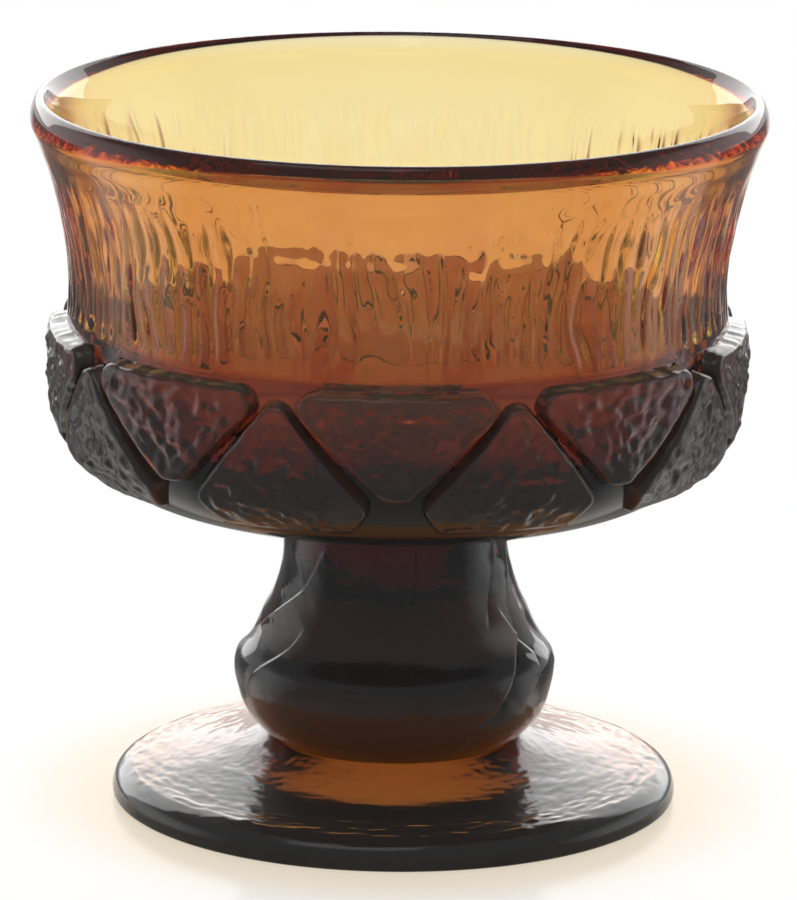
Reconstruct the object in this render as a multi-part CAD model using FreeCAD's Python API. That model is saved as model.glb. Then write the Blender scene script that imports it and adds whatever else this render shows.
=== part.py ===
import FreeCAD, Part
import math
import os

os.makedirs("parts", exist_ok=True)

# A footed sherbet glass of amber pressed glass, in millimetres, +Z up.
# The origin is the centre of the foot's resting face. The glass is one pressing, and each
# formed part of it is a solid of its own that meets its neighbours face to face.

# Lengths along the axis, from the table up
foot_height = 8.0
stem_height = 28.2
bowl_base_height = 24.6
wall_height = 21.8
rim_height = 5.4

# Foot
foot_radius = 34.9
foot_edge_height = 3.9
foot_ring_width = 14.0
foot_recess_depth = 4.5

# Stem
stem_foot_radius = 15.5
knop_radius = 19.9
neck_radius = 13.7
fold_count = 7
fold_depth = 1.3
fold_twist = 80.0

# Bowl
shelf_radius = 40.5
waist_inset = 0.1
mouth_flare = 3.6
wall_thickness = 2.9
floor_thickness = 9.3

# Ribs pressed into the outside of the wall
groove_count = 60
groove_width = 2.0
groove_depth = 0.45

# Two rows of petals round the base of the bowl. Their half widths are shares of the pitch.
petal_count = 9
petal_relief = 2.6
petal_corner_radius = 1.8
petal_gap = 0.3
petal_root_depth = 8.0
petal_overrun = 1.0
upper_petal_half_width_share = 0.329
upper_petal_tip_share = 0.02
upper_petal_length = 9.15
upper_petal_drop = 2.6
lower_petal_half_width_share = 0.296
lower_petal_foot_share = 0.229
lower_petal_drop = 10.8
lower_petal_length = 6.0
lower_petal_shoulder_drop = 4.8
lower_petal_foot_drop = 7.2
lower_petal_tilt = 22.0

# Rim bead
rim_bulge = 1.0
rim_crest_inset = 1.6

# Heights of the joins
foot_top = foot_height
stem_top = foot_top + stem_height
shelf = stem_top + bowl_base_height
wall_top = shelf + wall_height
crest = wall_top + rim_height

# Radii that follow from the bowl's and the foot's
foot_recess_radius = foot_radius - foot_ring_width
waist_radius = shelf_radius - waist_inset
mouth_radius = waist_radius + mouth_flare
rim_radius = mouth_radius + rim_bulge
rim_crest_radius = rim_radius - rim_crest_inset
petal_radius = shelf_radius + petal_relief
petal_pitch = 2 * math.pi * petal_radius / petal_count


def save(shape, name):
    shape.exportStep("parts/" + name + ".step")
    print(name, len(shape.Solids), round(shape.Volume, 1), shape.isValid())


def place(radius, height):
    return FreeCAD.Vector(radius, 0, height)


def line(start, end):
    return Part.LineSegment(start, end).toShape()


def arc(start, middle, end):
    return Part.Arc(start, middle, end).toShape()


def curve(points, first=None, last=None):
    spline = Part.BSplineCurve()
    if first is None:
        spline.interpolate(Points=points)
    else:
        spline.interpolate(Points=points, InitialTangent=first, FinalTangent=last)
    return spline.toShape()


def turned(edges, sweep=360.0):
    face = Part.Face(Part.Wire(edges))
    return face.revolve(FreeCAD.Vector(0, 0, 0), FreeCAD.Vector(0, 0, 1), sweep)


def about_axis(shape, angle):
    copy = shape.copy()
    copy.rotate(FreeCAD.Vector(0, 0, 0), FreeCAD.Vector(0, 0, 1), angle)
    return copy


# Rim: a fire-polished bead, thicker than the wall below it.
# Shares of the bead's width and height give where each arc passes.
def rim():
    widest_share = 0.5
    shoulder_shares = (0.55, 0.8)
    inner_radius = mouth_radius - wall_thickness
    outer_foot = place(mouth_radius, wall_top)
    inner_foot = place(inner_radius, wall_top)
    top = place(rim_crest_radius, crest)
    widest = place(rim_radius, wall_top + widest_share * rim_height)
    shoulder = place(inner_radius + shoulder_shares[0] * (rim_crest_radius - inner_radius),
                     wall_top + shoulder_shares[1] * rim_height)
    return turned([line(inner_foot, outer_foot),
                   arc(outer_foot, widest, top),
                   arc(top, shoulder, inner_foot)])


# The wall's outline rises from the shelf in shares of its height. Each radius is a share of the
# way from the waist to the mouth, and the shelf's own radius starts it.
wall_outline_shares = [(0.24, 0.0), (0.45, 0.14), (0.7, 0.46), (1.0, 1.0)]


def wall_points(inset):
    points = [place(shelf_radius - inset, shelf)]
    for rise, flare in wall_outline_shares:
        radius = waist_radius + flare * (mouth_radius - waist_radius)
        points.append(place(radius - inset, shelf + rise * wall_height))
    return points


# One groove of the bark-like ribbing, with its own bottom and top end, cut to a steady depth.
def groove(low_share, high_share):
    stations = 5
    outline = Part.BSplineCurve()
    outline.interpolate(Points=wall_points(groove_depth))
    span = outline.LastParameter - outline.FirstParameter
    points = []
    for station in range(stations):
        share = low_share + (high_share - low_share) * station / (stations - 1)
        points.append(outline.value(outline.FirstParameter + share * span))
    clear_radius = mouth_radius + groove_depth
    low = place(clear_radius, points[0].z)
    high = place(clear_radius, points[-1].z)
    sweep = math.degrees(groove_width / waist_radius)
    return turned([curve(points), line(points[-1], high), line(high, low), line(low, points[0])],
                  sweep)


# Wall: the ribbed upper part of the bowl, from the petals' shelf to the rim.
def bowl_wall():
    outer = wall_points(0)
    inner = wall_points(wall_thickness)
    blank = turned([line(inner[0], outer[0]),
                    curve(outer),
                    line(outer[-1], inner[-1]),
                    curve(inner)])
    wander_share = 0.22
    low_share, high_share, ragged_share = 0.05, 0.93, 0.025
    grooves = []
    for number in range(groove_count):
        wander = wander_share * math.sin(2.4 * number * number)
        low = low_share + ragged_share * math.sin(1.7 * number)
        high = high_share + ragged_share * math.sin(2.9 * number)
        grooves.append(about_axis(groove(low, high), 360.0 / groove_count * (number + wander)))
    return blank.cut(grooves)


# The bowl base's outside runs from the neck out under the bowl and up to the shelf, in shares of
# the shelf's radius and of the base's height.
base_outline_shares = [(0.494, 0.037), (0.667, 0.089), (0.815, 0.163), (0.904, 0.26),
                       (0.963, 0.39), (0.9975, 0.561), (1.011, 0.744)]


def base_blank():
    neck = place(neck_radius, stem_top)
    points = [neck]
    for reach, rise in base_outline_shares:
        points.append(place(reach * shelf_radius, stem_top + rise * bowl_base_height))
    points.append(place(shelf_radius, shelf))
    bottom = place(0, stem_top)
    top = place(0, shelf)
    return turned([line(bottom, neck), curve(points), line(points[-1], top), line(top, bottom)])


# Bowl base: the thick bottom of the bowl, with the round-cornered floor that the ice stands on.
# The hollow's outline is in shares of its own radius and depth.
def bowl_base():
    hollow_outline_shares = [(0.975, 0.69), (0.91, 0.4), (0.785, 0.17), (0.585, 0.045)]
    hollow_radius = shelf_radius - wall_thickness
    floor = stem_top + floor_thickness
    depth = shelf - floor
    edge = place(hollow_radius, shelf)
    centre = place(0, floor)
    points = [edge]
    for reach, rise in hollow_outline_shares:
        points.append(place(reach * hollow_radius, floor + rise * depth))
    points.append(centre)
    top = place(0, shelf)
    down = FreeCAD.Vector(0, 0, -1)
    inward = FreeCAD.Vector(-1, 0, 0)
    hollow = turned([curve(points, down, inward), line(centre, top), line(top, edge)])
    return base_blank().cut(hollow)


# The petals' outer faces lie on one turned surface, in shares of the radius over the petals and
# of the base's height.
def petal_blank():
    face_outline_shares = [(0.835, 0.232), (0.896, 0.272), (0.956, 0.374), (0.988, 0.545),
                           (1.0, 0.744), (1.0, 0.907), (0.988, 1.0)]
    points = []
    for reach, rise in face_outline_shares:
        points.append(place(reach * petal_radius, stem_top + rise * bowl_base_height))
    bottom = place(0, points[0].z)
    top = place(0, shelf)
    return turned([line(bottom, points[0]), curve(points), line(points[-1], top),
                   line(top, bottom)])


# The block that a petal is cut from is drafted and round-cornered, and can be grown by a clearance.
# Its core outline is given in (across, up) points about the petal's own centre.
def petal_block(core, centre_height, tilt, clearance=0):
    draft_share = 0.25
    rings = []
    for reach in (-petal_root_depth, petal_overrun):
        corners = [FreeCAD.Vector(reach, across, up) for across, up in core]
        outline = Part.makePolygon(corners + corners[:1])
        rings.append(outline.makeOffset2D(petal_corner_radius + clearance - draft_share * reach, 0))
    block = Part.makeLoft(rings, True, True)
    block.rotate(FreeCAD.Vector(0, 0, 0), FreeCAD.Vector(0, 1, 0), tilt)
    block.translate(place(petal_radius, centre_height))
    return block


# Upper petals: wide at the shelf and pointing down.
def upper_petal_block(clearance=0):
    half_width = upper_petal_half_width_share * petal_pitch
    tip = upper_petal_tip_share * petal_pitch
    core = [(-half_width, 0),
            (half_width, 0),
            (tip, -upper_petal_length),
            (-tip, -upper_petal_length)]
    return petal_block(core, shelf - upper_petal_drop, 0, clearance)


# Each petal is seated on the bowl base and cut to the petals' turned face.
def upper_petal():
    return upper_petal_block().common(petal_blank()).cut(base_blank())


# Lower petals: between the upper ones, pointing up, with cut-off bottom corners, and tilted to
# face out and down. They keep the petals' gap to the upper ones beside them.
def lower_petal():
    half_width = lower_petal_half_width_share * petal_pitch
    foot_half_width = lower_petal_foot_share * petal_pitch
    core = [(0, lower_petal_length),
            (-half_width, -lower_petal_shoulder_drop),
            (-foot_half_width, -lower_petal_foot_drop),
            (foot_half_width, -lower_petal_foot_drop),
            (half_width, -lower_petal_shoulder_drop)]
    block = petal_block(core, shelf - lower_petal_drop, lower_petal_tilt)
    neighbour = upper_petal_block(petal_gap)
    half_turn = 180.0 / petal_count
    return block.common(petal_blank()).cut([base_blank(), about_axis(neighbour, half_turn),
                                            about_axis(neighbour, -half_turn)])


# The stem's outline rises from the foot in shares of its height: first the swelling knop, whose
# radii are shares of the way from the foot's join to the widest, then the neck.
def stem_radius(rise):
    knop_shares = [(0.0, 0.0), (0.11, 0.66), (0.21, 0.93), (0.295, 1.0), (0.365, 0.93)]
    neck_shares = [(0.44, 0.67), (0.55, 0.42), (0.64, 0.23), (0.73, 0.1), (0.83, 0.0), (1.0, 0.0)]
    rows = [(up, stem_foot_radius + out * (knop_radius - stem_foot_radius))
            for up, out in knop_shares]
    rows += [(up, neck_radius + out * (knop_radius - neck_radius)) for up, out in neck_shares]
    for (low, near), (high, far) in zip(rows, rows[1:]):
        if rise <= high:
            return near + (far - near) * (rise - low) / (high - low)
    return rows[-1][1]


# Stem: a knopped baluster whose soft folds twist round it. Each section is a lobed ring, and the
# lobes fade out at both joins.
def stem():
    section_shares = [0.0, 0.06, 0.14, 0.22, 0.295, 0.37, 0.45, 0.56, 0.68, 0.82, 0.92, 1.0]
    points_per_fold = 8
    count = fold_count * points_per_fold
    sections = []
    for rise in section_shares:
        outer = stem_radius(rise)
        depth = fold_depth * math.sin(math.pi * rise) ** 0.7
        lead = math.radians(fold_twist * rise)
        points = []
        for number in range(count):
            angle = 2 * math.pi * number / count
            radius = outer - depth * (1 - math.cos(fold_count * (angle - lead))) / 2
            points.append(FreeCAD.Vector(radius * math.cos(angle), radius * math.sin(angle),
                                         foot_top + rise * stem_height))
        ring = Part.BSplineCurve()
        ring.interpolate(Points=points, PeriodicFlag=True)
        sections.append(Part.Wire(ring.toShape()))
    return Part.makeLoft(sections, True, False)


# Foot: a round domed disc with a soft edge, which stands on a flat ring round a domed recess.
def foot():
    rest_share = 0.985
    edge_shares = (0.985, 0.68)
    crest_share = 0.935
    slope_shares = [(0.3, 0.52), (0.62, 0.2)]
    rest = place(rest_share * foot_radius, 0)
    recess_edge = place(foot_recess_radius, 0)
    recess_top = place(0, foot_recess_depth)
    widest = place(foot_radius, foot_edge_height * (1 - edge_shares[1]))
    shoulder = place(edge_shares[0] * foot_radius, edge_shares[1] * foot_edge_height)
    edge_top = place(crest_share * foot_radius, foot_edge_height)
    join = place(stem_foot_radius, foot_top)
    slope = [join]
    for out, up in slope_shares:
        slope.append(place(stem_foot_radius + out * (edge_top.x - stem_foot_radius),
                           foot_edge_height + up * (foot_top - foot_edge_height)))
    slope.append(edge_top)
    centre = place(0, foot_top)
    half = foot_recess_radius / 2
    sag = foot_recess_depth * (1 - (half / foot_recess_radius) ** 2)
    return turned([arc(recess_top, place(half, sag), recess_edge),
                   line(recess_edge, rest),
                   arc(rest, widest, shoulder),
                   line(shoulder, edge_top),
                   curve(slope),
                   line(join, centre),
                   line(centre, recess_top)])


save(foot(), "foot")
save(stem(), "stem")
save(bowl_base(), "bowl_base")
save(bowl_wall(), "bowl_wall")
save(rim(), "rim")

upper = upper_petal()
lower = lower_petal()
pitch = 360.0 / petal_count
for number in range(petal_count):
    save(about_axis(upper, -90.0 + pitch * number), "upper_petal_" + str(number + 1))
    save(about_axis(lower, -90.0 + pitch * (number + 0.5)), "lower_petal_" + str(number + 1))
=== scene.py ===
import math

import bpy
import numpy as np
from mathutils import Matrix, Vector


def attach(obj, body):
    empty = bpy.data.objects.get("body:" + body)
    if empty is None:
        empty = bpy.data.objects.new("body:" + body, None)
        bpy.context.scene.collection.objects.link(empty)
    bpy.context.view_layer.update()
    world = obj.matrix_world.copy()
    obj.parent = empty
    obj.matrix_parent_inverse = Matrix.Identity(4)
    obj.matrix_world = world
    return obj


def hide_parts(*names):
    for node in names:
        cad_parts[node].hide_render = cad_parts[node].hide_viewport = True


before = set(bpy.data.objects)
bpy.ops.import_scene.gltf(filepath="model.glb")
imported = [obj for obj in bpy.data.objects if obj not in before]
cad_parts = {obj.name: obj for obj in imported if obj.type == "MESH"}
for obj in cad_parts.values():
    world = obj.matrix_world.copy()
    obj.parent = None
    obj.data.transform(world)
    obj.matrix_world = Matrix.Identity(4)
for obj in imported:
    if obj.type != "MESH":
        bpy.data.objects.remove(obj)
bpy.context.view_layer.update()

# Camera. A long lens looks down a little on the glass from the front, on the side of upper
# petal 1. The glass leans about half a degree to the right in the picture, so the camera is
# rolled by that.
camera_distance = 0.8174
camera_height = 0.2435
camera_pitch = math.radians(13.74)
camera_roll = math.radians(0.57)
camera_aside = 0.00024
lens_mm, sensor_mm = 273.6, 36.0

camera = bpy.data.objects.new("camera", bpy.data.cameras.new("camera"))
bpy.context.collection.objects.link(camera)
camera.data.lens = lens_mm
camera.data.sensor_width = sensor_mm
camera.data.clip_start = 0.05
camera.matrix_world = (Matrix.Translation((camera_aside, -camera_distance, camera_height))
                       @ Matrix.Rotation(math.pi / 2 - camera_pitch, 4, "X")
                       @ Matrix.Rotation(camera_roll, 4, "Z"))
bpy.context.scene.camera = camera
bpy.context.scene.view_settings.view_transform = "Standard"

# Light goes through many glass faces here, so the rays get as many turns as they need.
cycles = bpy.context.scene.cycles
cycles.max_bounces = 40
cycles.transmission_bounces = 32
cycles.glossy_bounces = 16
cycles.transparent_max_bounces = 16
cycles.caustics_reflective = False
cycles.caustics_refractive = True


# Studio. A white sweep stands all round the glass and ends in a dimmer ceiling, so the glass is
# seen against white and its bead and folds pick up the dark above them.
def add(tree, kind, settings=None, links=None):
    node = tree.nodes.new(kind)
    for name, value in (settings or {}).items():
        if isinstance(name, int) or name in node.inputs.keys():
            node.inputs[name].default_value = value
        else:
            setattr(node, name, value)
    for name, output in (links or {}).items():
        tree.links.new(output, node.inputs[name])
    return node


def linear(hex_color, alpha=1.0):
    parts = [int(hex_color[at:at + 2], 16) / 255 for at in (1, 3, 5)]
    return [p / 12.92 if p < 0.04045 else ((p + 0.055) / 1.055) ** 2.4 for p in parts] + [alpha]


# The sweep is four white panels with dim gaps between them, and in the front half there are
# panels in the gaps too. The camera doesn't see the gaps. They show through the glass, where they
# draw its ribs and edges dark, and in what it mirrors of the table. Gives how far a bearing is
# into a panel, its brightness and its share of white.
panel_count = 4
gap_level = 0.08


def panels_round(tree, x, y):
    bearing = add(tree, "ShaderNodeMath", {"operation": "ARCTAN2"}, {0: y, 1: x})
    turns = add(tree, "ShaderNodeMath", {"operation": "MULTIPLY", 1: float(panel_count)},
                {0: bearing.outputs[0]})
    wave = add(tree, "ShaderNodeMath", {"operation": "COSINE"}, {0: turns.outputs[0]})
    folded = add(tree, "ShaderNodeMath", {"operation": "ABSOLUTE"}, {0: wave.outputs[0]})
    extra = add(tree, "ShaderNodeMath", {"operation": "SUBTRACT"},
                {0: folded.outputs[0], 1: wave.outputs[0]})
    front = add(tree, "ShaderNodeMath", {"operation": "LESS_THAN", 1: 0.0}, {0: y})
    into = add(tree, "ShaderNodeMath", {"operation": "MULTIPLY_ADD"},
               {0: extra.outputs[0], 1: front.outputs[0], 2: wave.outputs[0]})
    level = add(tree, "ShaderNodeMapRange",
                {"interpolation_type": "SMOOTHSTEP", "From Min": 0.2, "From Max": 0.7,
                 "To Min": gap_level, "To Max": 1.0}, {"Value": into.outputs[0]})
    middle = add(tree, "ShaderNodeMapRange",
                 {"interpolation_type": "SMOOTHSTEP", "From Min": 0.3, "From Max": 0.8},
                 {"Value": into.outputs[0]})
    return into.outputs[0], level.outputs[0], middle.outputs[0]


# How bright each part of the room is for the rays that meet it, where 1 is white. The camera
# sees plain white. Glass shows the room's heights and gaps, so it has darks to draw with.
ceiling_level, low_ceiling_level, front_level = 0.07, 0.06, 0.15
least_gloss, on_plain_matter = 0.22, 0.55
# A ray that has crossed one wall, in and out, has a transmission depth of 2.
once_through = 2.5
# Light that has crossed more than one wall, or comes from beside a gap, is rosy. That keeps thick
# glass brown where its own tint would turn green.
glow_color = "#e5b6c2"

world = bpy.data.worlds.new("white studio")
bpy.context.scene.world = world
world.use_nodes = True
tree = world.node_tree
tree.nodes.clear()
ray = add(tree, "ShaderNodeLightPath")
direction = add(tree, "ShaderNodeTexCoord")
axes = add(tree, "ShaderNodeSeparateXYZ", links={0: direction.outputs["Generated"]})
ceiling = add(tree, "ShaderNodeMapRange",
              {"interpolation_type": "SMOOTHSTEP", "From Min": 0.24, "From Max": 0.62,
               "To Min": 1.0, "To Max": ceiling_level}, {"Value": axes.outputs["Z"]})
low_ceiling = add(tree, "ShaderNodeMapRange",
                  {"interpolation_type": "SMOOTHSTEP", "From Min": 0.15, "From Max": 0.4,
                   "To Min": 1.0, "To Max": low_ceiling_level}, {"Value": axes.outputs["Z"]})
room_side = add(tree, "ShaderNodeMapRange",
                {"interpolation_type": "SMOOTHSTEP", "From Min": -0.5, "From Max": 0.25,
                 "To Min": front_level, "To Max": 1.0}, {"Value": axes.outputs["Y"]})
into_panel, panels, middle = panels_round(tree, axes.outputs["X"], axes.outputs["Y"])
once = add(tree, "ShaderNodeMath", {"operation": "LESS_THAN", 1: once_through},
           {0: ray.outputs["Transmission Depth"]})
once_clear = add(tree, "ShaderNodeMath", {"operation": "MULTIPLY"},
                 {0: panels, 1: once.outputs[0]})
seen_once = add(tree, "ShaderNodeMath", {"operation": "MULTIPLY"},
                {0: ceiling.outputs[0], 1: once_clear.outputs[0]})
seen_across = add(tree, "ShaderNodeMath", {"operation": "MULTIPLY"},
                  {0: low_ceiling.outputs[0], 1: panels})
seen_through = add(tree, "ShaderNodeMath", {"operation": "MAXIMUM"},
                   {0: seen_across.outputs[0], 1: seen_once.outputs[0]})
through = add(tree, "ShaderNodeMath", {"operation": "MULTIPLY"},
              {0: seen_through.outputs[0], 1: ray.outputs["Is Transmission Ray"]})
seen_in_gloss = add(tree, "ShaderNodeMath", {"operation": "MULTIPLY"},
                    {0: ceiling.outputs[0], 1: room_side.outputs[0]})
veil = add(tree, "ShaderNodeMath", {"operation": "MAXIMUM", 1: least_gloss},
           {0: seen_in_gloss.outputs[0]})
in_gloss = add(tree, "ShaderNodeMath", {"operation": "MULTIPLY"},
               {0: veil.outputs[0], 1: ray.outputs["Is Glossy Ray"]})
on_matter = add(tree, "ShaderNodeMath", {"operation": "MULTIPLY", 1: on_plain_matter},
                {0: ray.outputs["Is Diffuse Ray"]})
by_glass = add(tree, "ShaderNodeMath", {"operation": "MAXIMUM"},
               {0: through.outputs[0], 1: in_gloss.outputs[0]})
by_matter = add(tree, "ShaderNodeMath", {"operation": "MAXIMUM"},
                {0: by_glass.outputs[0], 1: on_matter.outputs[0]})
strength = add(tree, "ShaderNodeMath", {"operation": "MAXIMUM"},
               {0: by_matter.outputs[0], 1: ray.outputs["Is Camera Ray"]})
once_middle = add(tree, "ShaderNodeMath", {"operation": "MULTIPLY"},
                  {0: middle, 1: once.outputs[0]})
not_through = add(tree, "ShaderNodeMath", {"operation": "SUBTRACT", 0: 1.0},
                  {1: ray.outputs["Is Transmission Ray"]})
plain_white = add(tree, "ShaderNodeMath", {"operation": "MAXIMUM"},
                  {0: once_middle.outputs[0], 1: not_through.outputs[0]})
glow = add(tree, "ShaderNodeMix",
           {"data_type": "RGBA", 6: linear(glow_color), 7: (1, 1, 1, 1)},
           {0: plain_white.outputs[0]})
back = add(tree, "ShaderNodeBackground",
           links={"Color": glow.outputs[2], "Strength": strength.outputs[0]})
add(tree, "ShaderNodeOutputWorld", links={"Surface": back.outputs[0]})

# Two softboxes: a wide one low behind the glass, that the foot and the edges mirror, and a small
# one above. Both are aimed at the petals.
aim_at = Vector((0, 0, 0.05))
for name, size, place, power in (("back softbox", (2.6, 1.1), (0.0, 1.2, 0.62), 18.0),
                                 ("top softbox", (0.7, 0.5), (-0.2, -0.35, 1.0), 0.8)):
    lamp = bpy.data.lights.new(name, "AREA")
    lamp.shape = "RECTANGLE"
    lamp.size, lamp.size_y = size
    lamp.energy = power
    holder = bpy.data.objects.new(name, lamp)
    bpy.context.collection.objects.link(holder)
    holder.location = place
    holder.rotation_mode = "QUATERNION"
    holder.rotation_quaternion = (aim_at - holder.location).to_track_quat("-Z", "Y")
    holder.visible_camera = False
    holder.visible_transmission = False

# Table. A laminate sheet, warm white and a little glossy, that runs out into the white sweep. Near
# the foot it takes the glass's shadow, lightened by emitted white as painted light, and a painted
# warm glow. Further out it is the sweep's own white.
table_radius = 1.6
table_clearance = 0.00005
# The second colour is a painted warm glow that the table shows round the foot, as if lit by light
# through the amber glass.
laminate_color, painted_glow_color = "#f3e6d6", "#fdf0dc"
laminate_roughness, laminate_index = 0.18, 1.45
table_front_level, table_gap_level, least_painted_white = 0.22, 0.22, 0.65

bpy.ops.mesh.primitive_circle_add(vertices=96, radius=table_radius, fill_type="NGON",
                                  location=(0, 0, -table_clearance))
table = bpy.context.object
table.name = "table"
sheet = bpy.data.materials.new("white laminate sheet")
sheet.use_nodes = True
tree = sheet.node_tree
tree.nodes.clear()
ray = add(tree, "ShaderNodeLightPath")
spot = add(tree, "ShaderNodeTexCoord")
far = add(tree, "ShaderNodeVectorMath", {"operation": "LENGTH"}, {0: spot.outputs["Object"]})
# Near the glass, at least this share of the table is emitted white, which paints light into the
# glass's shadow there.
away = add(tree, "ShaderNodeMapRange",
           {"interpolation_type": "SMOOTHSTEP", "From Min": 0.03, "From Max": 0.08,
            "To Min": least_painted_white}, {"Value": far.outputs["Value"]})
once = add(tree, "ShaderNodeMath", {"operation": "LESS_THAN", 1: once_through},
           {0: ray.outputs["Transmission Depth"]})
place = add(tree, "ShaderNodeSeparateXYZ", links={0: spot.outputs["Object"]})
into_panel, panels, middle = panels_round(tree, place.outputs["X"], place.outputs["Y"])
close = add(tree, "ShaderNodeMapRange",
            {"interpolation_type": "SMOOTHSTEP", "From Min": 0.25, "From Max": 0.2},
            {"Value": far.outputs["Value"]})
nearby = add(tree, "ShaderNodeMath", {"operation": "MAXIMUM"}, {0: panels, 1: close.outputs[0]})
through = add(tree, "ShaderNodeMath", {"operation": "MULTIPLY"},
              {0: nearby.outputs[0], 1: ray.outputs["Is Transmission Ray"]})
once_middle = add(tree, "ShaderNodeMath", {"operation": "MULTIPLY"},
                  {0: middle, 1: once.outputs[0]})
not_through = add(tree, "ShaderNodeMath", {"operation": "SUBTRACT", 0: 1.0},
                  {1: ray.outputs["Is Transmission Ray"]})
plain_white = add(tree, "ShaderNodeMath", {"operation": "MAXIMUM"},
                  {0: once_middle.outputs[0], 1: not_through.outputs[0]})
glow = add(tree, "ShaderNodeMix",
           {"data_type": "RGBA", 6: linear(glow_color), 7: (1, 1, 1, 1)},
           {0: plain_white.outputs[0]})
# Painted glow: within about 4 to 5 cm of the middle, the table's emitted light turns the warm glow
# colour, both to the camera and through the glass.
painted_glow_fade = add(tree, "ShaderNodeMapRange",
              {"interpolation_type": "SMOOTHSTEP", "From Min": 0.036, "From Max": 0.052},
              {"Value": far.outputs["Value"]})
painted_glow = add(tree, "ShaderNodeMix", {"data_type": "RGBA", 6: linear(painted_glow_color)},
           {0: painted_glow_fade.outputs[0], 7: glow.outputs[2]})
side = add(tree, "ShaderNodeMath", {"operation": "DIVIDE"},
           {0: place.outputs["Y"], 1: far.outputs["Value"]})
room_side = add(tree, "ShaderNodeMapRange",
                {"interpolation_type": "SMOOTHSTEP", "From Min": -0.5, "From Max": 0.25,
                 "To Min": table_front_level, "To Max": 1.0}, {"Value": side.outputs[0]})
gloss_panels = add(tree, "ShaderNodeMapRange",
                   {"interpolation_type": "SMOOTHSTEP", "From Min": -0.4, "From Max": 0.4,
                    "To Min": table_gap_level, "To Max": 1.0}, {"Value": into_panel})
room_panels = add(tree, "ShaderNodeMath", {"operation": "MULTIPLY"},
                  {0: room_side.outputs[0], 1: gloss_panels.outputs[0]})
by_gloss = add(tree, "ShaderNodeMath", {"operation": "MULTIPLY"},
               {0: room_panels.outputs[0], 1: not_through.outputs[0]})
direct = add(tree, "ShaderNodeMath", {"operation": "MAXIMUM"},
             {0: ray.outputs["Is Camera Ray"], 1: through.outputs[0]})
bright = add(tree, "ShaderNodeMath", {"operation": "MAXIMUM"},
             {0: direct.outputs[0], 1: by_gloss.outputs[0]})
laminate = add(tree, "ShaderNodeBsdfPrincipled",
               {"Base Color": linear(laminate_color), "Roughness": laminate_roughness,
                "IOR": laminate_index})
white = add(tree, "ShaderNodeEmission",
            links={"Color": painted_glow.outputs[2], "Strength": bright.outputs[0]})
# Rays through the glass see the table as all emitted white. So even where the foot shades the
# table, painted light lights the glass from below.
painted_white_share = add(tree, "ShaderNodeMath", {"operation": "MAXIMUM"},
          {0: away.outputs[0], 1: ray.outputs["Is Transmission Ray"]})
mixed = add(tree, "ShaderNodeMixShader", links={0: painted_white_share.outputs[0], 1: laminate.outputs[0],
                                                2: white.outputs[0]})
add(tree, "ShaderNodeOutputMaterial", links={"Surface": mixed.outputs[0]})
table.data.materials.append(sheet)

# Foot. A round domed disc, pressed with the rest of the glass, that stands on a flat ring round a
# domed recess. Its top has a fine wood-like grain and short ripples where the mould chilled it.
mm = 0.001
air_index, glass_index = 1.0, 1.52
crease_angle = math.radians(50)


# The glass is one pressing, so a join between two pieces is no real surface. There the faces are
# marked 0 in "skin", and the glass has the index of air, so light goes straight across.
def glass_piece(name, points, faces, joins, material, nodes):
    name = "glass_" + name
    mesh = bpy.data.meshes.new(name)
    mesh.from_pydata([tuple(p) for p in np.asarray(points) * mm], [], faces)
    mesh.update()
    skin = mesh.attributes.new("skin", "FLOAT", "FACE")
    skin.data.foreach_set("value", np.where(joins, 0.0, 1.0).astype(np.float32))
    mesh.polygons.foreach_set("use_smooth", np.ones(len(mesh.polygons), bool))
    mesh.set_sharp_from_angle(angle=crease_angle)
    piece = bpy.data.objects.new(name, mesh)
    bpy.context.collection.objects.link(piece)
    mesh.materials.append(material)
    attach(piece, "root")
    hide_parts(*nodes)


# Pressed amber glass: clear, with an even brown tint that deepens with thickness, so thin walls
# look light amber and solid glass nearly black. Its fire-polished skin gives crisp reflections.
# The tint is what one millimetre lets through.
def pressed_glass(name, per_mm, roughness=0.0, clearness=0.97):
    least_share, headroom = 1e-4, 1.02
    material = bpy.data.materials.new(name)
    material.use_nodes = True
    tree = material.node_tree
    tree.nodes.clear()
    skin = add(tree, "ShaderNodeAttribute", {"attribute_name": "skin"})
    index = add(tree, "ShaderNodeMapRange", {"To Min": air_index, "To Max": glass_index},
                {"Value": skin.outputs["Fac"]})
    shader = add(tree, "ShaderNodeBsdfPrincipled",
                 {"Base Color": (1, 1, 1, 1), "Roughness": roughness, "IOR": glass_index,
                  "Transmission Weight": clearness}, {"IOR": index.outputs[0]})
    loss = [-math.log(max(share, least_share)) / mm for share in linear(per_mm)[:3]]
    density = max(loss) * headroom
    tint = [1 - part / density for part in loss] + [1.0]
    volume = add(tree, "ShaderNodeVolumeAbsorption", {"Color": tint, "Density": density})
    add(tree, "ShaderNodeOutputMaterial",
        links={"Surface": shader.outputs[0], "Volume": volume.outputs[0]})
    return material


# Soft random waves over a lattice of cells round the glass and up it, the same every run.
def waves(around, up, cells_around, cells_up, seed):
    lattice = np.random.default_rng(seed).uniform(-1, 1, (cells_up + 3, cells_around))
    u = (around % 1.0) * cells_around
    v = np.clip(up, 0, 1) * cells_up
    i, j = np.floor(u).astype(int), np.floor(v).astype(int)
    s, t = u - i, v - j
    s, t = s * s * (3 - 2 * s), t * t * (3 - 2 * t)
    left, right = i % cells_around, (i + 1) % cells_around
    low = lattice[j, left] * (1 - s) + lattice[j, right] * s
    high = lattice[j + 1, left] * (1 - s) + lattice[j + 1, right] * s
    return low * (1 - t) + high * t


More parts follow.
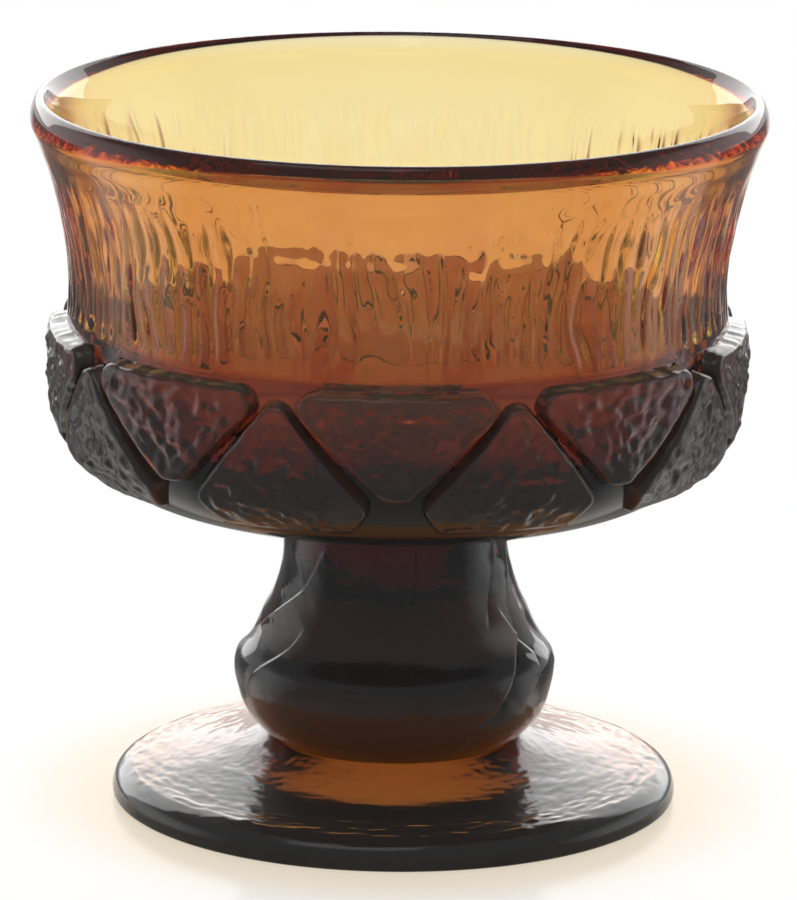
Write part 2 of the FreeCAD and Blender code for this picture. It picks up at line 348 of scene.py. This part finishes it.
# A turned skin: rows of (radius, height) with the same number of points round each. A ring-shaped
# piece closes on its first row, and any other with a fan at its bottom and its top. The owner of
# a face is its row, or -1 in the bottom fan and -2 in the top one.
def turned_skin(radius, height, ring):
    rows, columns = radius.shape
    angle = 2 * math.pi * np.arange(columns) / columns
    points = np.stack([radius * np.cos(angle), radius * np.sin(angle), height], -1).reshape(-1, 3)
    faces, owners = [], []
    near = np.arange(columns)
    far = (near + 1) % columns
    for row in range(rows if ring else rows - 1):
        a, b = row * columns, (row + 1) % rows * columns
        faces += np.stack([a + near, a + far, b + far, b + near], -1).tolist()
        owners += [row] * columns
    if not ring:
        bottom, top, last = len(points), len(points) + 1, (rows - 1) * columns
        points = np.vstack([points, [[0, 0, height[0].mean()], [0, 0, height[-1].mean()]]])
        for one, other in zip(near.tolist(), far.tolist()):
            faces += [[bottom, other, one], [top, last + one, last + other]]
            owners += [-1, -2]
    return points, faces, np.array(owners)


# Evenly spaced points along an outline given by a few (radius, height) points.
def along(outline, step):
    outline = np.array(outline, float)
    spans = np.hypot(*np.diff(outline, axis=0).T)
    reach = np.concatenate([[0], np.cumsum(spans)])
    count = max(int(round(reach[-1] / step)), 2)
    at = np.linspace(0, reach[-1], count + 1)
    return np.stack([np.interp(at, reach, outline[:, 0]), np.interp(at, reach, outline[:, 1])], -1)


# A smooth curve through a few (radius, height) points, by Catmull-Rom pieces.
def through_points(outline, pieces=12):
    p = np.array(outline, float)
    p = np.vstack([2 * p[0] - p[1], p, 2 * p[-1] - p[-2]])
    out = []
    for k in range(1, len(p) - 2):
        t = np.linspace(0, 1, pieces, endpoint=False)[:, None]
        a, b, c, d = p[k - 1], p[k], p[k + 1], p[k + 2]
        out.append(0.5 * (2 * b + (c - a) * t + (2 * a - 5 * b + 4 * c - d) * t ** 2
                          + (3 * b - a - 3 * c + d) * t ** 3))
    return np.vstack(out + [p[-2:-1]])


# A piece stops this far short of the face that it shares with the next, so that their skins
# don't coincide. All shapes are in millimetres from here on.
join_gap = 0.01
foot_columns = 900
recess_radius, recess_depth, recess_fullness = 20.9, 4.5, 2.4
stem_foot_radius, slope_width, grain_from_height, edge_radius = 15.5, 19.4, 2.4, 31.5
grain_depth, edge_grain_depth, fine_depth, ripple_depth = 0.034, 0.05, 0.018, 0.05
seam_depth, seam_width, seam_reach = 0.1, 0.16, 24.0

recess = [(recess_radius * s, recess_depth * (1 - s * s) ** recess_fullness)
          for s in np.linspace(0.03, 1, 30)]
edge = through_points([(34.2, 0.0), (34.75, 0.35), (34.9, 1.1), (34.75, 2.0), (34.35, 2.75),
                       (33.6, 3.4), (32.6, 3.9)])
slope = through_points([(32.6, 3.9), (27.2, 4.7), (21.0, 6.0), (17.2, 7.35),
                        (stem_foot_radius, 8.0)])
outline = np.vstack([recess, along([(recess_radius, 0.0), (34.2, 0.0)], 1.2)[1:],
                     along(edge, 0.3)[1:], along(slope, 0.3)[1:]])
outline[-1, 1] -= join_gap
radius = np.repeat(outline[:, :1], foot_columns, 1)
height = np.repeat(outline[:, 1:], foot_columns, 1)
around = np.arange(foot_columns)[None, :] / foot_columns
out_share = np.clip((radius - stem_foot_radius) / slope_width, 0, 1)
on_top = (np.clip((height - grain_from_height) / 1.4, 0, 1)
          * np.clip((radius - stem_foot_radius) / 1.5, 0, 1))
near_edge = np.exp(-((radius - edge_radius) / 2.2) ** 2)
grain = waves(around, out_share, 70, 34, 11) + 0.6 * waves(around, out_share, 160, 46, 13)
fine = waves(around, out_share, 120, 80, 14)
# The two halves of the mould meet in front and at the back.
from_seam = np.abs(((around - 0.75 + 0.25) % 0.5) - 0.25) * 2 * math.pi * radius
seam = np.exp(-(from_seam / seam_width) ** 2) * np.clip((seam_reach - radius) / 4.0, 0, 1)
height = height + on_top * ((grain_depth + edge_grain_depth * near_edge) * grain
                            + fine_depth * fine - seam_depth * seam
                            + ripple_depth * waves(around, out_share, 24, 8, 12))
points, faces, owners = turned_skin(radius, height, False)
# Its skin is the least polished of all, so it gives a soft sheen.
foot_glass = pressed_glass("amber glass, pressed, foot", "#eddec8", 0.12)
glass_piece("foot", points, faces, owners == -2, foot_glass, ["foot"])

# Stem. A thick knopped baluster of solid glass, so it looks nearly black. Soft folds like wrapped
# cloth turn down round it, pressed by the same mould.
stem_columns = 600
foot_top, stem_height = 8.0, 28.2
silhouette = through_points([(15.5, 8.0), (17.2, 9.6), (18.6, 11.4), (19.3, 13.2), (19.9, 16.0),
                             (19.6, 18.3), (18.1, 20.4), (17.2, 22.0), (16.4, 23.9), (15.5, 25.8),
                             (14.6, 28.2), (14.0, 31.0), (13.8, 34.0), (13.7, 36.2)])
outline = along(silhouette, 0.25)
outline[0, 1] += join_gap
outline[-1, 1] -= join_gap
radius = np.repeat(outline[:, :1], stem_columns, 1)
height = np.repeat(outline[:, 1:], stem_columns, 1)
turn = np.degrees(2 * math.pi * np.arange(stem_columns) / stem_columns)[None, :] + 90.0
rise = (height - foot_top) / stem_height
fades = np.clip(np.minimum(rise, 1 - rise) / 0.12, 0, 1)
fades = fades * fades * (3 - 2 * fades)
# Each fold is (depth in mm, side that sinks, then its (degrees from the front, height) points).
# The skin drops over a crisp lip and comes back slowly, as cloth does where it laps.
folds = [(0.9, -1, [(-38, 34), (-52, 28), (-72, 24), (-90, 20), (-112, 14), (-118, 10)]),
         (0.9, -1, [(-42, 24), (-48, 21.5), (-62, 17.8), (-70, 14), (-74, 10)]),
         (0.6, 1, [(60, 36), (62, 32), (50, 27), (44, 24)]),
         (0.9, 1, [(86, 36), (83, 32), (64, 25.5), (66, 23), (49, 18.3), (40, 14.5), (26, 13)]),
         (0.7, 1, [(56, 26), (61, 23.5), (70, 20), (66, 17.5), (57, 14.5)]),
         (0.32, 1, [(20, 13.2), (7, 15.5), (-3, 13.8), (-20, 12.7), (-36, 13.6), (-40, 16.5)]),
         (1.0, 1, [(132, 35), (120, 28), (100, 21), (84, 15), (78, 10)]),
         (1.0, 1, [(178, 35), (162, 27), (146, 20), (126, 13), (120, 10)]),
         (0.6, 1, [(196, 30), (184, 24), (176, 19)]),
         (1.0, 1, [(226, 35), (210, 28), (190, 21), (172, 14), (166, 10)]),
         (1.0, 1, [(272, 35), (258, 29), (236, 22), (216, 15), (208, 10)]),
         (0.4, 1, [(160, 13.4), (146, 15.2), (134, 13.6), (112, 12.8)])]
lip, recovery, tail_share = 0.24, 2.4, 0.25
mm_per_radian = 17.0
for depth, side, line in folds:
    nearest = np.full(radius.shape, 1e3)
    signed = np.zeros(radius.shape)
    strength_there = np.zeros(radius.shape)
    spans = len(line) - 1
    for k in range(spans):
        (turn_a, up_a), (turn_b, up_b) = line[k], line[k + 1]
        x = ((turn - turn_a + 180.0) % 360.0 - 180.0) * math.pi / 180 * mm_per_radian
        y = height - up_a
        dx, dy = (turn_b - turn_a) * math.pi / 180 * mm_per_radian, up_b - up_a
        share = np.clip((x * dx + y * dy) / (dx * dx + dy * dy), 0, 1)
        apart = np.hypot(x - share * dx, y - share * dy)
        across = -(x * dy - y * dx) / math.hypot(dx, dy)
        reach = (k + share) / spans
        tail = np.clip(np.minimum(reach, 1 - reach) / tail_share, 0, 1)
        closer = apart < nearest
        nearest = np.where(closer, apart, nearest)
        signed = np.where(closer, np.sign(across) * apart, signed)
        strength_there = np.where(closer, tail, strength_there)
    signed = signed * side
    drop = np.clip((signed + lip) / (2 * lip), 0, 1)
    drop = drop * drop * (3 - 2 * drop) * np.exp(-np.clip(signed, 0, None) / recovery)
    radius = radius - fades * depth * strength_there * drop
dent_depth, ripple_depth = 0.16, 0.03
radius = radius + fades * (dent_depth * waves(turn / 360.0, rise, 16, 8, 21)
                           + ripple_depth * waves(turn / 360.0 + 0.2 * rise, rise, 90, 12, 22))
points, faces, owners = turned_skin(radius, height, False)
stem_glass = pressed_glass("amber glass, pressed, stem", "#f0e0cc", 0.05)
glass_piece("stem", points, faces, owners < 0, stem_glass, ["stem"])

# Bowl base. The thick bottom of the bowl, where the glass is deepest, with a round-cornered floor
# that the ice stands on. The petals grow out of its outside.
bowl_columns = 900
neck_radius, stem_top, shelf_radius, shelf, floor_height = 13.7, 36.2, 40.5, 60.8, 45.5
hollow_radius = 37.6
base_outline = through_points([(neck_radius, stem_top), (20.0, 37.1), (27.0, 38.4), (33.0, 40.2),
                               (36.6, 42.6), (39.0, 45.8), (40.4, 50.0), (40.95, 54.5),
                               (shelf_radius, shelf)])
hollow_outline = through_points([(hollow_radius, shelf), (36.7, 56.1), (34.2, 51.6), (29.5, 48.1),
                                 (22.0, 46.2), (11.0, 45.6), (1.0, floor_height)])
outside = along(base_outline, 0.36)
outside[0, 1] += join_gap
outside[-1, 1] -= join_gap
inside = along(hollow_outline, 0.7)
inside[0, 1] -= join_gap
outline = np.vstack([outside, inside])
radius = np.repeat(outline[:, :1], bowl_columns, 1)
height = np.repeat(outline[:, 1:], bowl_columns, 1)
points, faces, owners = turned_skin(radius, height, False)

# The petals' outline cores, across and up the bowl in mm from the row's own line. A petal's
# outline keeps a set distance from its core, which rounds its corners.
petal_count = 9
petal_radius = 42.6
petal_reach = 2.55
upper_core = [(-9.9, 0.0), (9.9, 0.0), (0.6, -9.15), (-0.6, -9.15)]
lower_core = [(0.0, 6.6), (-9.1, -4.6), (-7.6, -8.2), (7.6, -8.2), (9.1, -4.6)]
petal_rows = ((upper_core, 58.2, 0.0), (lower_core, 50.0, 0.5))
face_outline = through_points([(36.0, 41.9), (38.6, 42.9), (41.2, 45.4), (42.6, 49.6),
                               (43.1, 54.5), (43.1, 58.5), (42.6, 60.8), (42.2, 62.0)], 30)


# A ring round a petal's core at a set distance from it, with its corners rounded by arcs. The
# core may be shrunk to its centre, and the ring keeps its number of points.
def petal_ring(core, distance, shrink=1.0):
    arc_points, spacing = 7, 0.42
    core = np.array(core)
    (x0, y0), (x1, y1) = core[1] - core[0], core[2] - core[1]
    if x0 * y1 - y0 * x1 < 0:
        core = core[::-1]
    centre = core.mean(0)
    core = centre + (core - centre) * shrink
    ring = []
    for k in range(len(core)):
        before, here, after = core[k - 1], core[k], core[(k + 1) % len(core)]
        one, two = here - before, after - here
        first = math.atan2(one[1], one[0]) - math.pi / 2
        second = math.atan2(two[1], two[0]) - math.pi / 2
        while second < first:
            second += 2 * math.pi
        for share in np.linspace(0, 1, arc_points):
            angle = first + (second - first) * share
            ring.append(here + distance * np.array([math.cos(angle), math.sin(angle)]))
        steps = max(int(np.hypot(*two) / shrink / spacing), 2)
        start = here + distance * np.array([math.cos(second), math.sin(second)])
        for share in np.linspace(0, 1, steps + 1)[1:-1]:
            ring.append(start + two * share)
    return np.array(ring)


# The petals' face lies over the base. Each height on it has a nearest place on the base below,
# smoothed so that the petals' sides run even.
face_reach = np.concatenate([[0], np.cumsum(np.hypot(*np.diff(face_outline, axis=0).T))])
nearest = np.array([base_outline[np.argmin(np.hypot(*(base_outline - p).T))]
                    for p in face_outline])
kernel = np.ones(9) / 9
nearest = np.stack([np.convolve(np.pad(nearest[:, k], 4, "edge"), kernel, "valid")
                    for k in (0, 1)], -1)


# A ring's places on the bowl, at a share of the way from the base to the petals' face. Up runs
# along that face from the row's height.
def on_bowl(ring, lift, row_height, turn):
    start = np.interp(row_height, face_outline[:, 1], face_reach)
    at = start + ring[:, 1]
    face = np.stack([np.interp(at, face_reach, face_outline[:, k]) for k in (0, 1)], -1)
    base = np.stack([np.interp(at, face_reach, nearest[:, k]) for k in (0, 1)], -1)
    spot = base + (face - base) * np.asarray(lift)[..., None]
    angle = math.radians(turn) + ring[:, 0] / petal_radius
    return np.stack([spot[:, 0] * np.cos(angle), spot[:, 0] * np.sin(angle), spot[:, 1]], -1)


# A petal's bearing in degrees. Number 0 faces the camera, and a shift of 0.5 is half a pitch.
def petal_turn(number, shift):
    return -90.0 + 360.0 / petal_count * (number + shift)


# Which places lie inside a ring, by the number of times that a line from each crosses it.
def inside_ring(across, up, ring):
    hit = np.zeros(across.shape, bool)
    for (x0, y0), (x1, y1) in zip(ring, np.roll(ring, -1, 0)):
        if y0 == y1:
            continue
        cut = (up > y0) != (up > y1)
        hit ^= cut & (across < x0 + (up - y0) * (x1 - x0) / (y1 - y0))
    return hit


# The base's faces that lie under a petal are joins, for there it is one glass with it. So are
# those that meet the wall and the stem.
face_rows = (outside[:-1] + outside[1:]) / 2
row_reach = np.array([face_reach[np.argmin(np.hypot(*(nearest - p).T))] for p in face_rows])
face_turn = (np.arange(bowl_columns) + 0.5) / bowl_columns * 360.0
under = np.zeros((len(face_rows), bowl_columns), bool)
for core, row_height, shift in petal_rows:
    ring = petal_ring(core, petal_reach)
    start = np.interp(row_height, face_outline[:, 1], face_reach)
    for number in range(petal_count):
        turned = (face_turn - petal_turn(number, shift) + 180.0) % 360.0 - 180.0
        across, up = np.broadcast_arrays((np.radians(turned) * petal_radius)[None, :],
                                         (row_reach - start)[:, None])
        under |= inside_ring(across, up, ring)
joins = np.zeros(len(faces), bool)
joins[:under.size] = under.ravel()
joins[(len(outside) - 1) * bowl_columns:len(outside) * bowl_columns] = True
joins |= owners == -1
base_glass = pressed_glass("amber glass, pressed, bowl base", "#f2e4d4")
glass_piece("bowl_base", points, faces, joins, base_glass, ["bowl_base"])

# Petals. Two rows of raised facets, the upper ones pointing down and the lower ones up between
# them, each with a domed and lightly hammered face, a crisp edge and drafted sides.
petal_glass = pressed_glass("amber glass, pressed, petals", "#eee2d4")
# Rings from the root of the sides to the face, as (distance from the core, share of relief).
levels = [(2.45, 0.0), (2.36, 0.12), (2.24, 0.32), (2.1, 0.55), (1.95, 0.76), (1.78, 0.9),
          (1.55, 0.97), (1.2, 0.995), (0.8, 1.0), (0.4, 1.0), (0.1, 1.0)]
first_wobbly, last_wobbly, first_hammered = 1, 8, 7
shrinks = np.linspace(1.0, 0.04, 22)[1:]
wobble, hammer_depth, face_drop, root_lift = 0.14, 0.14, 0.1, 0.008
pattern_width = 30.0
for name, (core, row_height, shift) in zip(("upper_petal_", "lower_petal_"), petal_rows):
    for number in range(petal_count):
        turn = petal_turn(number, shift)
        stack = [(petal_ring(core, distance), lift) for distance, lift in levels]
        stack += [(petal_ring(core, 0.1 * shrink, shrink), 1.0) for shrink in shrinks]
        count = len(stack[0][0])
        rings = []
        for at, (ring, lift) in enumerate(stack):
            edge = np.clip(at / 10.0, 0, 1)
            share_u, share_v = (ring / pattern_width + 0.5).T
            if first_wobbly <= at <= last_wobbly:
                ups = wobble * waves(share_u, share_v, 26, 26, 90 + number)
                ring = ring + [0.0, 1.0] * ups[:, None]
            hammer = 0.0
            if at >= first_hammered:
                dents = waves(share_u, share_v, 22, 22, 40 + number) \
                    + 0.5 * waves(share_u, share_v, 41, 41, 70 + number)
                hammer = hammer_depth * edge ** 3 * dents
            rings.append(on_bowl(ring, lift + hammer - face_drop * edge, row_height, turn))
        centre = rings[-1].mean(0, keepdims=True)
        bottom = on_bowl(petal_ring(core, 1.0), root_lift, row_height, turn)
        inner_bottom = on_bowl(petal_ring(core, 0.1, 0.5), root_lift, row_height, turn)
        root = on_bowl(petal_ring(core, 0.0, 0.001)[:1], root_lift, row_height, turn)
        everything = [inner_bottom, bottom] + rings
        points = np.vstack(everything + [centre, root])
        faces, joins = [], []
        for level in range(len(everything) - 1):
            a, b = level * count, (level + 1) * count
            for near in range(count):
                far = (near + 1) % count
                faces.append([a + near, a + far, b + far, b + near])
                joins.append(level < 2)
        last = (len(everything) - 1) * count
        for near in range(count):
            far = (near + 1) % count
            faces.append([last + near, last + far, last + count])
            joins.append(False)
            faces.append([far, near, last + count + 1])
            joins.append(True)
        node = name + str(number + 1)
        glass_piece(node, points, faces, np.array(joins), petal_glass,
                    [node])

# Wall and rim. The clear upper part of the bowl, smooth inside and pressed outside with upright
# ribs like bark, which waver and fade out at ragged tops. It runs on into the smooth fire-polished
# bead, a little thicker than the wall, that leans out. Both are one clear skin with no line
# between them.
wall_columns = 960
mouth_radius, wall_top, wall_thickness = 44.0, 82.6, 2.9
rib_count, rib_depth, rib_sharpness = 100, 0.28, 2.5
ripple_depth, streak_depth = 0.03, 0.13
wall_outline = through_points([(shelf_radius, shelf), (40.4, 66.0), (40.9, 70.6), (42.05, 76.1),
                               (42.95, 79.5), (mouth_radius, wall_top)])
bead = through_points([(mouth_radius, wall_top), (44.24, 83.2), (44.52, 83.85), (44.78, 84.45),
                       (44.93, 85.1), (44.92, 85.8), (44.8, 86.5), (44.6, 87.05), (44.38, 87.5),
                       (44.12, 87.8), (43.8, 87.94), (43.5, 87.94), (43.25, 87.75),
                       (43.05, 87.4), (42.6, 86.6), (42.16, 85.8), (41.75, 84.8), (41.4, 83.75),
                       (41.1, wall_top)], 2)
outside = along(wall_outline, 0.45)
inside = along(wall_outline[::-1], 1.2) - [wall_thickness, 0]
outside[0, 1] += join_gap
inside[-1, 1] += join_gap
rise = (outside[:, 1:] - shelf) / (wall_top - shelf)
around = np.arange(wall_columns)[None, :] / wall_columns
rise, around = rise + 0 * around, around + 0 * rise
phase = rib_count * around + 0.45 * waves(around, rise, 50, 3, 5) \
    + 0.12 * waves(around, rise, 110, 7, 6)
groove = (0.5 + 0.5 * np.cos(2 * math.pi * phase)) ** rib_sharpness
strength_of_rib = (0.55 + 0.5 * waves(around, rise, 100, 5, 7)) * (1.25 - 0.8 * rise)
ragged = 0.95 + 0.04 * waves(around, 0 * rise, 100, 1, 8)
fade = np.clip(rise / 0.14, 0, 1) * np.clip((ragged - rise) / 0.2, 0, 1)
fade = fade * fade * (3 - 2 * fade)
cut = rib_depth * strength_of_rib * groove * fade
cut = cut + fade * ripple_depth * (1 + waves(around, rise, 60, 14, 9))
cut = cut + fade * streak_depth * (1 + waves(around + 0.01 * rise, rise, 120, 4, 10))
smooth = np.vstack([bead[1:-1], inside])
radius = np.vstack([outside[:, :1] - cut, np.repeat(smooth[:, :1], wall_columns, 1)])
height = np.vstack([np.repeat(outside[:, 1:], wall_columns, 1),
                    np.repeat(smooth[:, 1:], wall_columns, 1)])
points, faces, owners = turned_skin(radius, height, True)
wall_glass = pressed_glass("amber glass, pressed, wall and rim", "#fef6da", 0.0, 0.99)
glass_piece("bowl_wall_and_rim", points, faces, owners == len(radius) - 1, wall_glass,
            ["bowl_wall", "rim"])
